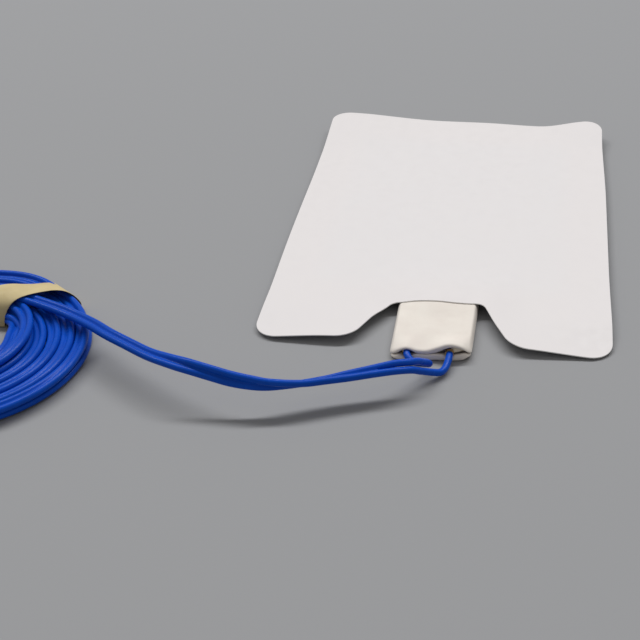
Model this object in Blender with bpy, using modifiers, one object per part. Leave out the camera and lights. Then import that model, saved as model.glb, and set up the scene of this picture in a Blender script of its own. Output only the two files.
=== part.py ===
"""Electrosurgical return electrode.

A split conductive pad lies with its gel side up under a release liner. A foam sleeve
at the near edge holds the ends of a twin lead, which runs to a taped coil and a flat plug.
Metres, +Z up, +X across the pad, +Y away from the sleeve.
The origin is the middle of the pad's footprint, on the table.
"""
import math

import bmesh
import bpy
from mathutils import Matrix, Vector

# Clearances
GLUE_GAP = 0.00025
WIRE_GAP = 0.0003
SEAT_GAP = 0.0003

# Release liner
LINER_WIDTH = 0.120
LINER_LENGTH = 0.180
LINER_CORNER = 0.008
LINER_THICKNESS = 0.00035
LINER_CELL = 0.0075

# Notch in the near edge, a trapezium with rounded corners
NOTCH_DEPTH = 0.023
NOTCH_TOP_HALF = 0.0161
NOTCH_BASE_HALF = 0.0269
NOTCH_TOP_FILLET = 0.004
NOTCH_BASE_FILLET = 0.009

# Curls of the thin liner at its far corners: height, distance of the crest from the side,
# reach along the far edge and reach into the sheet
CURL_FAR_LEFT = (0.0027, 0.000, 0.052, 0.040)
CURL_FAR_RIGHT = (0.0028, 0.004, 0.024, 0.024)

# Droops at its near corners: depth, reach along the near edge and reach into the sheet
DROOP_NEAR_LEFT = (0.0010, 0.025, 0.020)
DROOP_NEAR_RIGHT = (0.0025, 0.035, 0.020)

# The liner stands up round the notch, higher on the right
RISE_HEIGHT = 0.00115
RISE_LEAN = 0.010
RISE_BESIDE_NOTCH = 0.007
RISE_BEHIND_NOTCH = 0.029
RISE_SPAN = 0.020

# Foam backing and the strip under the sleeve
FOAM_INSET = 0.008
FOAM_CORNER = 0.006
FOAM_THICKNESS = 0.0012
FOAM_NOTCH_FILLET = 0.006

# Sleeve on the strip
TAB_WIDTH = 0.0276
TAB_SIDE_SHIFT = 0.0010
TAB_REACH = 0.0072
TAB_CORNER = 0.0030
TAB_ROOT_FILLET = 0.0020
COVER_TUCK = 0.005
COVER_THICKNESS = 0.0012
COVER_CELL_X = 0.0014
COVER_CELL_Y = 0.0040
TUNNEL_HALF_WIDTH = 0.0046
TUNNEL_OUTER_HALF_WIDTH = 0.0060
TUNNEL_FADE = 0.010
MOUTH_DIP = 0.88
MOUTH_DIP_HALF_WIDTH = 0.0057
MOUTH_DIP_REACH = 0.010
TAIL_RISE = 0.00095

# Conductive layers, split down the middle
FOIL_THICKNESS = 0.00015
GEL_THICKNESS = 0.0008
GEL_SIDE_MARGIN = 0.016
GEL_BEHIND_NOTCH = 0.013
GEL_FAR_MARGIN = 0.022
GEL_CORNER = 0.008
GEL_SPLIT = 0.004
SPLIT_CORNER = 0.001
FOIL_INSET = 0.0015
TAIL_WIDTH = 0.005
TAIL_LEAD = 0.0008
TAIL_INNER_FILLET = 0.0006
TAIL_OUTER_FILLET = 0.002

# Twin lead
WIRE_DIAMETER = 0.0024
PAIR_PITCH = WIRE_DIAMETER + WIRE_GAP
CONDUCTOR_DIAMETER = 0.0008
CONDUCTOR_OVERHANG = 0.0004
LEAD_X = (-0.0070, 0.0072)

# Crimps
CRIMP_SETBACK = 0.011
CRIMP_LENGTH = 0.0055
CRIMP_OUTER = 0.0019
CRIMP_BORE = 0.0013
CRIMP_TO_JACKET = 0.001
CRIMP_PLATE_LENGTH = 0.0095
CRIMP_PLATE_WIDTH = 0.0042
CRIMP_PLATE_THICKNESS = 0.00025
CRIMP_PLATE_CORNER = 0.0003
CRIMP_PLATE_NOSE = 0.0019

# Coil, as the outer shape of its turns
COIL_OUTER = 0.0485
COIL_INNER = 0.0190
COIL_BOTTOM = 0.00055
COIL_TOP = 0.0070
COIL_ROUNDING = 0.0025
COIL_LOWER_ROUNDING = 0.0012

# Paper tape band round the coil
TAPE_THICKNESS = COIL_BOTTOM - SEAT_GAP
TAPE_WIDTH = 0.013
TAPE_AZIMUTH = math.radians(45.0)
TAPE_OFFSET = 0.0057
TAPE_FOLD = 0.0010
TAPE_SIDE_DROP = 0.0008
TAPE_SLACK = 0.0045
TAPE_SLACK_RISE = 0.0022
TAPE_SHOULDER = 0.0006
TAPE_OVER_LEAD = 0.0013
TAPE_ARCH_SPAN = (0.0230, 0.0365)
TAPE_ARCH_ROUNDING = 0.005

# Flat plug
PLUG_AXIS_Z = 0.00455
BOOT_LENGTH = 0.022
BOOT_TIP_RADIUS = 0.0034
BOOT_TIP_CHAMFER = 0.0007
BOOT_BASE_RADIUS = 0.0055
BOOT_FLATTENING = 0.72
BOOT_RINGS = 4
BOOT_RING_DEPTH = 0.0006
HOUSING_LENGTH = 0.034
HOUSING_SHOULDER = 0.012
HOUSING_HALF_WIDTH = 0.012
HOUSING_REAR_HALF_WIDTH = 0.0065
HOUSING_HEIGHT = 2 * PLUG_AXIS_Z
HOUSING_BEVEL = 0.0012
HOUSING_REAR_CORNER = 0.0015
HOUSING_FRONT_CORNER = 0.0025
HOUSING_SHOULDER_ROUNDING = 0.010
GRIP_GROOVES = 5
GRIP_SETBACK = 0.002
GRIP_PITCH = 0.003
GRIP_WIDTH = 0.0144
GRIP_RADIUS = 0.0009
GRIP_DEPTH = 0.0005
TONGUE_LENGTH = 0.018
TONGUE_ROOT = 0.006
TONGUE_HALF_WIDTH = 0.0085
TONGUE_THICKNESS = 0.0032
TONGUE_CORNER = 0.0015
TONGUE_HOLE = 0.0036
CONTACT_THICKNESS = 0.0003
CONTACT_WIDTH = 0.0044
CONTACT_X = 0.0046
CONTACT_SETBACK = 0.0017
CONTACT_EDGE = 0.00008

# A boolean cutter runs past the faces that it opens by this much
CUT_PAST = 0.001

# The lead, coil and plug are placed from the middle of the sleeve's front edge
COIL_CENTRE = (-0.1595, -0.0153)
PLUG_POINT = (-0.2170, -0.0308)

# Points of the left wire from its crimp, through the tight turn at the sleeve's mouth
LEFT_WIRE_START = [
    (-0.0070, 0.0052, 0.00275),
    (-0.0070, 0.0009, 0.00265),
    (-0.0064, -0.0010, 0.00235),
    (-0.0053, -0.0025, 0.00200),
    (-0.0039, -0.0032, 0.00180),
    (-0.0023, -0.0034, 0.00180),
    (-0.0005, -0.0039, 0.00205),
    (0.0007, -0.0049, 0.00270),
    (0.0011, -0.0061, 0.00365),
    (0.0005, -0.0073, 0.00480),
    (-0.0007, -0.0090, 0.00610),
    (-0.0022, -0.0111, 0.00765),
]

# Points of the right wire from its crimp to where the two wires meet
RIGHT_WIRE_START = [
    (0.0072, 0.0052, 0.00275),
    (0.0072, 0.0007, 0.00265),
    (0.0069, -0.0026, 0.00225),
    (0.0062, -0.0060, 0.00185),
    (0.0049, -0.0082, 0.00190),
    (0.0030, -0.0097, 0.00275),
    (0.0009, -0.0116, 0.00415),
    (-0.0015, -0.0138, 0.00580),
]

# Middle of the twin lead from the sleeve to the coil: x, y, z, and its roll in degrees,
# where 0 puts the left wire level behind the right one and 90 puts it above
PAIR_ROUTE = [
    (-0.0040, -0.0147, 0.0081, 40.0),
    (-0.0086, -0.0176, 0.0092, 28.0),
    (-0.0139, -0.0201, 0.0093, 10.0),
    (-0.0224, -0.0235, 0.0089, -6.0),
    (-0.0300, -0.0267, 0.0087, -25.0),
    (-0.0374, -0.0297, 0.0089, -36.0),
    (-0.0464, -0.0322, 0.0095, -66.0),
    (-0.0526, -0.0329, 0.0103, -90.0),
    (-0.0590, -0.0327, 0.0111, -112.0),
    (-0.0658, -0.0312, 0.0117, -122.0),
    (-0.0729, -0.0289, 0.0119, -134.0),
    (-0.0804, -0.0255, 0.0112, -158.0),
    (-0.0885, -0.0209, 0.0100, -175.0),
    (-0.0972, -0.0148, 0.0092, -180.0),
    (-0.1058, -0.0095, 0.0091, -180.0),
    (-0.1132, -0.0046, 0.0092, -180.0),
    (-0.1211, -0.0001, 0.0091, -180.0),
    (-0.1278, 0.0036, 0.0089, -180.0),
    (-0.1366, 0.0076, 0.0087, -180.0),
    (-0.1440, 0.0106, 0.0086, -180.0),
]

# Middle of the twin lead from the coil's outer turn to the plug, lying flat
PLUG_ROUTE = [
    (-0.1960, 0.0207, 0.0016, 0.0),
    (-0.2030, 0.0132, 0.0016, 0.0),
    (-0.2085, 0.0047, 0.0018, 0.0),
    (-0.2128, -0.0048, 0.0026, 0.0),
    (-0.2156, -0.0148, 0.0036, 0.0),
    (-0.2168, -0.0233, 0.0043, 0.0),
    (-0.2170, -0.0305, PLUG_AXIS_Z, 0.0),
]

# Layer heights, each layer a glue line above the one below
FOIL_BOTTOM = FOAM_THICKNESS + GLUE_GAP
FOIL_TOP = FOIL_BOTTOM + FOIL_THICKNESS
GEL_BOTTOM = FOIL_TOP + GLUE_GAP
LINER_BOTTOM = GEL_BOTTOM + GEL_THICKNESS + GLUE_GAP
COVER_BOTTOM = FOAM_THICKNESS + GLUE_GAP
CRIMP_BOTTOM = FOIL_TOP + GLUE_GAP
CRIMP_AXIS_Z = CRIMP_BOTTOM + CRIMP_OUTER / 2

# Places along Y, from the liner's middle
NEAR_EDGE = -LINER_LENGTH / 2
FAR_EDGE = LINER_LENGTH / 2
NOTCH_TOP_Y = NEAR_EDGE + NOTCH_DEPTH
TAB_FRONT_Y = NEAR_EDGE - TAB_REACH
CRIMP_FRONT_Y = TAB_FRONT_Y + CRIMP_SETBACK

# Places along the plug
HOUSING_REAR = BOOT_LENGTH + SEAT_GAP
HOUSING_FRONT = HOUSING_REAR + HOUSING_LENGTH


def clear_scene():
    for item in list(bpy.data.objects):
        bpy.data.objects.remove(item, do_unlink=True)


def new_collection(name):
    collection = bpy.data.collections.new(name)
    bpy.context.scene.collection.children.link(collection)
    return collection


def new_material(name, color, roughness, metallic=0.0):
    material = bpy.data.materials.new(name)
    material.use_nodes = True
    shader = material.node_tree.nodes["Principled BSDF"]
    shader.inputs["Base Color"].default_value = (*color, 1.0)
    shader.inputs["Roughness"].default_value = roughness
    shader.inputs["Metallic"].default_value = metallic
    return material


def new_empty(name, location, parent=None, azimuth=0.0):
    empty = bpy.data.objects.new(name, None)
    empty.location = location
    empty.rotation_euler = (0.0, 0.0, azimuth)
    empty.parent = parent
    parts.objects.link(empty)
    return empty


def add_piece(name, data, material, parent):
    piece = bpy.data.objects.new(name, data)
    data.materials.append(material)
    piece.parent = parent
    parts.objects.link(piece)
    return piece


def add_cutter(name, data, parent):
    cutter = bpy.data.objects.new(name, data)
    cutter.parent = parent
    cutter.hide_render = True
    cutter.display_type = "WIRE"
    cutters.objects.link(cutter)
    return cutter


def corner_arc(before, corner, after, radius, steps):
    """Points of one corner's fillet, from the side before it to the side after it."""
    into = (corner - before).normalized()
    out = (after - corner).normalized()
    turn = into.angle_signed(out)
    if radius == 0.0:
        return [corner]
    start = corner - into * radius * math.tan(abs(turn) / 2)
    inward = Vector((-into.y, into.x)) * math.copysign(1.0, -turn)
    centre = start + inward * radius
    points = []
    for step in range(steps + 1):
        spin = Matrix.Rotation(-turn * step / steps, 2)
        points.append(centre + spin @ (start - centre))
    return points


def rounded_outline(corners, steps=5):
    """Outline through corners given as x, y and fillet radius."""
    spots = [Vector((x, y)) for x, y, _ in corners]
    points = []
    for index, (_, _, radius) in enumerate(corners):
        before = spots[index - 1]
        after = spots[(index + 1) % len(spots)]
        points += corner_arc(before, spots[index], after, radius, steps)
    return points


def flat_piece(name, corners, bottom, thickness, material, parent):
    """A flat outline as a plate of the given thickness."""
    outline = rounded_outline(corners)
    curve = bpy.data.curves.new(name, "CURVE")
    curve.dimensions = "2D"
    curve.fill_mode = "BOTH"
    curve.extrude = thickness / 2
    spline = curve.splines.new("POLY")
    spline.points.add(len(outline) - 1)
    for point, spot in zip(spline.points, outline):
        point.co = (spot.x, spot.y, 0.0, 1.0)
    spline.use_cyclic_u = True
    piece = add_piece(name, curve, material, parent)
    piece.location.z = bottom + thickness / 2
    return piece


def as_mesh(piece):
    """Turn a curve object into a welded mesh object of the same name and place."""
    bpy.context.view_layer.update()
    depsgraph = bpy.context.evaluated_depsgraph_get()
    mesh = bpy.data.meshes.new_from_object(piece.evaluated_get(depsgraph))
    work = bmesh.new()
    work.from_mesh(mesh)
    bmesh.ops.remove_doubles(work, verts=work.verts, dist=1e-6)
    work.to_mesh(mesh)
    work.free()
    name, parent, place, curve = piece.name, piece.parent, piece.matrix_basis.copy(), piece.data
    bpy.data.objects.remove(piece, do_unlink=True)
    bpy.data.curves.remove(curve)
    mesh.name = name
    solid = bpy.data.objects.new(name, mesh)
    solid.parent = parent
    solid.matrix_basis = place
    parts.objects.link(solid)
    return solid


def mesh_from(work, name):
    mesh = bpy.data.meshes.new(name)
    work.to_mesh(mesh)
    work.free()
    return mesh


def box_mesh(name, low, high):
    low, high = Vector(low), Vector(high)
    work = bmesh.new()
    bmesh.ops.create_cube(work, size=1.0)
    bmesh.ops.scale(work, vec=high - low, verts=work.verts)
    bmesh.ops.translate(work, vec=(low + high) / 2, verts=work.verts)
    return mesh_from(work, name)


def rod_mesh(name, radius, length, sides):
    """A cylinder along its own Z, centred on its origin."""
    work = bmesh.new()
    bmesh.ops.create_cone(work, cap_ends=True, segments=sides, radius1=radius, radius2=radius, depth=length)
    return mesh_from(work, name)


def combine(piece, cutter, operation):
    modifier = piece.modifiers.new(operation.title(), "BOOLEAN")
    modifier.operation = operation
    modifier.solver = "EXACT"
    modifier.object = cutter


def bevel_edges(piece, width, segments):
    modifier = piece.modifiers.new("Bevel", "BEVEL")
    modifier.width = width
    modifier.segments = segments
    modifier.limit_method = "ANGLE"
    modifier.angle_limit = math.radians(50.0)


def thicken(piece, thickness, offset):
    modifier = piece.modifiers.new("Thickness", "SOLIDIFY")
    modifier.thickness = thickness
    modifier.offset = offset


def turned_piece(name, profile, closed, steps, material, parent):
    """A profile in the XZ plane, turned about Z."""
    work = bmesh.new()
    verts = [work.verts.new((spot.x, 0.0, spot.y)) for spot in profile]
    for first, second in zip(verts, verts[1:]):
        work.edges.new((first, second))
    if closed:
        work.edges.new((verts[-1], verts[0]))
    piece = add_piece(name, mesh_from(work, name), material, parent)
    modifier = piece.modifiers.new("Turn", "SCREW")
    modifier.axis = "Z"
    modifier.steps = steps
    modifier.render_steps = steps
    modifier.use_merge_vertices = True
    modifier.merge_threshold = 1e-6
    modifier.use_smooth_shade = True
    return piece


def ease(value):
    """A smooth step from 0 to 1."""
    value = min(1.0, max(0.0, value))
    return value * value * (3.0 - 2.0 * value)


def edge_weight(distance, reach):
    """1 at an edge, falling smoothly to 0 at the reach."""
    return ease(1.0 - distance / reach)


def hump(distance, half_width):
    """A smooth hump, 1 in the middle and 0 past its half width."""
    if abs(distance) >= half_width:
        return 0.0
    return math.cos(math.pi / 2 * distance / half_width) ** 2


def notch_rise(x, y):
    """The liner's lift round its notch, where the sleeve holds it up."""
    height = RISE_HEIGHT + RISE_LEAN * x
    beside = ease((NOTCH_BASE_HALF + RISE_BESIDE_NOTCH - abs(x)) / RISE_SPAN)
    behind = ease((NOTCH_TOP_Y + RISE_BEHIND_NOTCH - y) / RISE_SPAN)
    return height * beside * behind


def liner_height(x, y):
    """Underside of the liner: flat over the gel, curled at its far corners, drooping at the near ones."""
    from_left, from_right = x + LINER_WIDTH / 2, LINER_WIDTH / 2 - x
    from_near, from_far = y - NEAR_EDGE, FAR_EDGE - y
    height = LINER_BOTTOM + notch_rise(x, y)
    for curl, from_side in ((CURL_FAR_LEFT, from_left), (CURL_FAR_RIGHT, from_right)):
        lift, crest, reach_along, reach_in = curl
        height += lift * hump(from_side - crest, reach_along) * edge_weight(from_far, reach_in)
    for droop, from_side in ((DROOP_NEAR_LEFT, from_left), (DROOP_NEAR_RIGHT, from_right)):
        depth, reach_along, reach_in = droop
        height -= depth * edge_weight(from_side, reach_along) * edge_weight(from_near, reach_in)
    return height


def cover_height(x, y):
    """Underside of the sleeve's top layer: up over the wires and what lies between them, settling behind
    their crimps, with a dip in the middle of its mouth."""
    over_wire = CRIMP_AXIS_Z + WIRE_DIAMETER / 2 + WIRE_GAP - COVER_BOTTOM
    settled = ease((y - CRIMP_FRONT_Y - CRIMP_LENGTH) / TUNNEL_FADE)
    rise = over_wire + (TAIL_RISE - over_wire) * settled
    left, right = LEAD_X
    right_reach = TUNNEL_OUTER_HALF_WIDTH if x > right else TUNNEL_HALF_WIDTH
    across = hump(max(left - x, 0.0), TUNNEL_HALF_WIDTH) * hump(max(x - right, 0.0), right_reach)
    at_mouth = edge_weight(y - TAB_FRONT_Y, MOUTH_DIP_REACH)
    dip = MOUTH_DIP * hump(x - (left + right) / 2, MOUTH_DIP_HALF_WIDTH) * at_mouth
    return COVER_BOTTOM + rise * across * (1.0 - dip)


def draped_sheet(name, corners, cells, height, thickness, material, parent):
    """A thin sheet with a rounded outline, cut into cells and lifted by a height function."""
    outline = rounded_outline(corners)
    work = bmesh.new()
    work.faces.new([work.verts.new((spot.x, spot.y, 0.0)) for spot in outline])
    for axis, cell in enumerate(cells):
        low = min(spot[axis] for spot in outline)
        high = max(spot[axis] for spot in outline)
        normal = Vector((0.0, 0.0, 0.0))
        normal[axis] = 1.0
        count = round((high - low) / cell)
        for step in range(1, count):
            place = normal * (low + (high - low) * step / count)
            everything = work.verts[:] + work.edges[:] + work.faces[:]
            bmesh.ops.bisect_plane(work, geom=everything, plane_co=place, plane_no=normal)
    for vert in work.verts:
        vert.co.z = height(vert.co.x, vert.co.y)
    bmesh.ops.triangulate(work, faces=work.faces)
    piece = add_piece(name, mesh_from(work, name), material, parent)
    thicken(piece, thickness, 1.0)
    return piece


def notched_corners(inset, corner, notch_fillet, base_fillet):
    """The liner's sides and notch moved inwards, as two runs of corners that go round anticlockwise."""
    half = LINER_WIDTH / 2 - inset
    near, far = NEAR_EDGE + inset, FAR_EDGE - inset
    slope = (NOTCH_BASE_HALF - NOTCH_TOP_HALF) / NOTCH_DEPTH
    sideways = inset * (math.hypot(1.0, slope) - slope)
    base_half = NOTCH_BASE_HALF + sideways
    top_half = NOTCH_TOP_HALF + sideways
    top = NOTCH_TOP_Y + inset
    sides = [
        (base_half, near, base_fillet),
        (half, near, corner),
        (half, far, corner),
        (-half, far, corner),
        (-half, near, corner),
        (-base_half, near, base_fillet),
    ]
    notch = [(-top_half, top, notch_fillet), (top_half, top, notch_fillet)]
    return sides, notch


def tab_sides():
    return TAB_SIDE_SHIFT - TAB_WIDTH / 2, TAB_SIDE_SHIFT + TAB_WIDTH / 2


def build_liner(parent, material):
    sides, notch = notched_corners(0.0, LINER_CORNER, NOTCH_TOP_FILLET, NOTCH_BASE_FILLET)
    cells = (LINER_CELL, LINER_CELL)
    draped_sheet("release_liner", sides + notch, cells, liner_height, LINER_THICKNESS, material, parent)


def build_foam(parent, material):
    """The backing with its own notch, out of which the sleeve's strip runs."""
    sides, notch = notched_corners(FOAM_INSET, FOAM_CORNER, FOAM_NOTCH_FILLET, FOAM_CORNER)
    left, right = tab_sides()
    root = notch[0][1]
    strip = [
        (left, root, TAB_ROOT_FILLET),
        (left, TAB_FRONT_Y, TAB_CORNER),
        (right, TAB_FRONT_Y, TAB_CORNER),
        (right, root, TAB_ROOT_FILLET),
    ]
    corners = sides + [notch[0]] + strip + [notch[1]]
    flat_piece("foam_backing", corners, 0.0, FOAM_THICKNESS, material, parent)


def build_cover(parent, material):
    left, right = tab_sides()
    back = NOTCH_TOP_Y + COVER_TUCK
    corners = [
        (left, back, 0.0),
        (left, TAB_FRONT_Y, TAB_CORNER),
        (right, TAB_FRONT_Y, TAB_CORNER),
        (right, back, 0.0),
    ]
    cells = (COVER_CELL_X, COVER_CELL_Y)
    draped_sheet("tab_cover", corners, cells, cover_height, COVER_THICKNESS, material, parent)


def half_pad_edges(side, inset):
    """Edges of one half of the split pad: inner, outer, near and far. Side is -1 left and 1 right."""
    inner = side * (GEL_SPLIT / 2 + inset)
    outer = side * (LINER_WIDTH / 2 - GEL_SIDE_MARGIN - inset)
    near = NOTCH_TOP_Y + GEL_BEHIND_NOTCH + inset
    far = FAR_EDGE - GEL_FAR_MARGIN - inset
    return inner, outer, near, far


def build_gel(name, side, parent, material):
    inner, outer, near, far = half_pad_edges(side, 0.0)
    corners = [
        (inner, near, SPLIT_CORNER),
        (outer, near, GEL_CORNER),
        (outer, far, GEL_CORNER),
        (inner, far, SPLIT_CORNER),
    ]
    flat_piece(name, corners, GEL_BOTTOM, GEL_THICKNESS, material, parent)


def build_foil(name, side, lead_x, parent, material):
    """One half of the foil, with its tail under the sleeve."""
    inner, outer, near, far = half_pad_edges(side, FOIL_INSET)
    rounding = GEL_CORNER - FOIL_INSET
    tail_inner = lead_x - side * TAIL_WIDTH / 2
    tail_outer = lead_x + side * TAIL_WIDTH / 2
    tail_end = CRIMP_FRONT_Y - TAIL_LEAD
    corners = [
        (inner, far, SPLIT_CORNER),
        (inner, near, SPLIT_CORNER),
        (tail_inner, near, TAIL_INNER_FILLET),
        (tail_inner, tail_end, SPLIT_CORNER),
        (tail_outer, tail_end, SPLIT_CORNER),
        (tail_outer, near, TAIL_OUTER_FILLET),
        (outer, near, rounding),
        (outer, far, rounding),
    ]
    flat_piece(name, corners, FOIL_BOTTOM, FOIL_THICKNESS, material, parent)


def build_crimp(name, lead_x, parent, material):
    """A barrel for the bare wire on a plate that lies on the foil's tail."""
    half = CRIMP_PLATE_WIDTH / 2
    rear = CRIMP_FRONT_Y + CRIMP_PLATE_LENGTH
    corners = [
        (-half, CRIMP_FRONT_Y, CRIMP_PLATE_CORNER),
        (half, CRIMP_FRONT_Y, CRIMP_PLATE_CORNER),
        (half, rear, CRIMP_PLATE_NOSE),
        (-half, rear, CRIMP_PLATE_NOSE),
    ]
    crimp = as_mesh(flat_piece(name, corners, CRIMP_BOTTOM, CRIMP_PLATE_THICKNESS, material, parent))
    crimp.location.x = lead_x
    barrel = rod_mesh(name + "_barrel", CRIMP_OUTER / 2, CRIMP_LENGTH, 20)
    bore = rod_mesh(name + "_bore", CRIMP_BORE / 2, CRIMP_LENGTH + 2 * CUT_PAST, 16)
    for mesh, operation in ((barrel, "UNION"), (bore, "DIFFERENCE")):
        shape = add_cutter(mesh.name, mesh, parent)
        shape.location = (lead_x, CRIMP_FRONT_Y + CRIMP_LENGTH / 2, CRIMP_AXIS_Z)
        shape.rotation_euler = (math.pi / 2, 0.0, 0.0)
        combine(crimp, shape, operation)


def smooth_points(spots, samples):
    """Points on a smooth curve through the given ones, with samples to each stretch."""
    rows = [Vector(spot) for spot in spots]
    rows = [2 * rows[0] - rows[1]] + rows + [2 * rows[-1] - rows[-2]]
    points = []
    for before, start, end, after in zip(rows, rows[1:], rows[2:], rows[3:]):
        for step in range(samples):
            t = step / samples
            line = 2 * start + (end - before) * t
            bend = (2 * before - 5 * start + 4 * end - after) * t ** 2
            twist = (3 * start - before - 3 * end + after) * t ** 3
            points.append((line + bend + twist) / 2)
    points.append(rows[-2])
    return points


def wire_points(route, side):
    """One wire of the twin lead, half a pitch from the route on the side that its roll gives."""
    places = [Vector(row[:3]) for row in route]
    points = []
    for index, row in enumerate(route):
        ahead = places[min(index + 1, len(places) - 1)]
        behind = places[max(index - 1, 0)]
        along = (ahead - behind).normalized()
        level = along.cross(Vector((0.0, 0.0, 1.0))).normalized()
        upright = level.cross(along)
        roll = math.radians(row[3])
        arm = level * math.cos(roll) + upright * math.sin(roll)
        points.append(places[index] + arm * side * PAIR_PITCH / 2)
    return points


def tube_piece(name, points, diameter, material, parent):
    curve = bpy.data.curves.new(name, "CURVE")
    curve.dimensions = "3D"
    curve.bevel_depth = diameter / 2
    curve.bevel_resolution = 2
    curve.use_fill_caps = True
    spline = curve.splines.new("POLY")
    spline.points.add(len(points) - 1)
    for point, spot in zip(spline.points, points):
        point.co = (*spot, 1.0)
    return add_piece(name, curve, material, parent)


def build_lead(side_name, side, lead_x, start, lead_frame, wire_material, metal_material):
    """One wire from its crimp to the coil, with the bare end that sits in the crimp."""
    jacket_end = CRIMP_SETBACK - CRIMP_TO_JACKET
    spots = [(lead_x, jacket_end, CRIMP_AXIS_Z)] + start + wire_points(PAIR_ROUTE, side)
    tube_piece("lead_" + side_name, smooth_points(spots, 2), WIRE_DIAMETER, wire_material, lead_frame)
    bare_rear = Vector((lead_x, CRIMP_SETBACK + CRIMP_LENGTH + CONDUCTOR_OVERHANG, CRIMP_AXIS_Z))
    bare_front = Vector((lead_x, jacket_end + WIRE_GAP, CRIMP_AXIS_Z))
    bare = [bare_rear, bare_front]
    tube_piece("conductor_" + side_name, bare, CONDUCTOR_DIAMETER, metal_material, lead_frame)


def build_coil(coil_frame, material):
    corners = [
        (COIL_OUTER, COIL_TOP, COIL_ROUNDING),
        (COIL_OUTER, COIL_BOTTOM, COIL_LOWER_ROUNDING),
        (COIL_INNER, COIL_BOTTOM, COIL_LOWER_ROUNDING),
        (COIL_INNER, COIL_TOP, COIL_ROUNDING),
    ]
    turned_piece("cord_coil", rounded_outline(corners, 3), True, 56, material, coil_frame)


def build_tape(coil_frame, material):
    """A band that closes round the coil and arches over the lead that comes in on top."""
    far_side = TAPE_OFFSET + TAPE_WIDTH / 2
    low = math.sqrt(COIL_INNER ** 2 - far_side ** 2) - SEAT_GAP - TAPE_THICKNESS
    high = COIL_OUTER + SEAT_GAP + TAPE_THICKNESS
    arch_top = COIL_TOP + WIRE_DIAMETER + TAPE_OVER_LEAD
    arch_start, arch_end = TAPE_ARCH_SPAN
    corners = [
        (low, 0.0, TAPE_FOLD),
        (high, 0.0, TAPE_FOLD),
        (high, COIL_TOP - TAPE_SIDE_DROP, 2 * TAPE_FOLD),
        (high - TAPE_SLACK, COIL_TOP + TAPE_SLACK_RISE, TAPE_ARCH_ROUNDING),
        (arch_end, arch_top, TAPE_ARCH_ROUNDING),
        (arch_start, arch_top, TAPE_ARCH_ROUNDING),
        (low, COIL_TOP + TAPE_SHOULDER, 2 * TAPE_FOLD),
    ]
    loop = rounded_outline(corners, 4)
    work = bmesh.new()
    near_rim = [work.verts.new((spot.x, -TAPE_WIDTH / 2, spot.y)) for spot in loop]
    far_rim = [work.verts.new((spot.x, TAPE_WIDTH / 2, spot.y)) for spot in loop]
    for index in range(len(loop)):
        work.faces.new((near_rim[index - 1], near_rim[index], far_rim[index], far_rim[index - 1]))
    tape_frame = new_empty("tape_frame", (0.0, 0.0, 0.0), coil_frame, TAPE_AZIMUTH)
    band = add_piece("coil_tape", mesh_from(work, "coil_tape"), material, tape_frame)
    band.location.y = TAPE_OFFSET
    thicken(band, TAPE_THICKNESS, -1.0)


def build_plug_leads(lead_frame, material):
    for side_name, side in (("outer", 1.0), ("inner", -1.0)):
        points = smooth_points(wire_points(PLUG_ROUTE, side), 2)
        tube_piece("plug_lead_" + side_name, points, WIRE_DIAMETER, material, lead_frame)


def build_boot(plug_frame, material):
    """The strain relief: a flattened taper with shallow rings."""
    pitch = BOOT_LENGTH / (BOOT_RINGS + 1.5)
    widening = (BOOT_BASE_RADIUS - BOOT_TIP_RADIUS) / BOOT_LENGTH
    profile = [Vector((0.0, BOOT_LENGTH)), Vector((BOOT_BASE_RADIUS, BOOT_LENGTH))]
    for ring in range(BOOT_RINGS, 0, -1):
        middle = ring * pitch
        radius = BOOT_TIP_RADIUS + widening * middle
        for share, depth in ((0.22, 0.0), (0.12, BOOT_RING_DEPTH), (-0.12, BOOT_RING_DEPTH), (-0.22, 0.0)):
            profile.append(Vector((radius - depth, middle + share * pitch)))
    profile.append(Vector((BOOT_TIP_RADIUS, BOOT_TIP_CHAMFER)))
    profile.append(Vector((BOOT_TIP_RADIUS - BOOT_TIP_CHAMFER, 0.0)))
    profile.append(Vector((0.0, 0.0)))
    boot = turned_piece("plug_strain_relief", profile, False, 24, material, plug_frame)
    boot.rotation_euler = (-math.pi / 2, 0.0, 0.0)
    boot.location.z = PLUG_AXIS_Z
    boot.scale.y = BOOT_FLATTENING


def cut_grip(shell, outer_face, outward, plug_frame):
    """Shallow finger grooves across a shell's outer face."""
    for index in range(GRIP_GROOVES):
        name = f"{shell.name}_groove_{index}"
        groove = add_cutter(name, rod_mesh(name, GRIP_RADIUS, GRIP_WIDTH, 12), plug_frame)
        along = HOUSING_REAR + HOUSING_SHOULDER + GRIP_SETBACK + index * GRIP_PITCH
        groove.location = (0.0, along, outer_face + outward * (GRIP_RADIUS - GRIP_DEPTH))
        groove.rotation_euler = (0.0, math.pi / 2, 0.0)
        combine(shell, groove, "DIFFERENCE")


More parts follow.
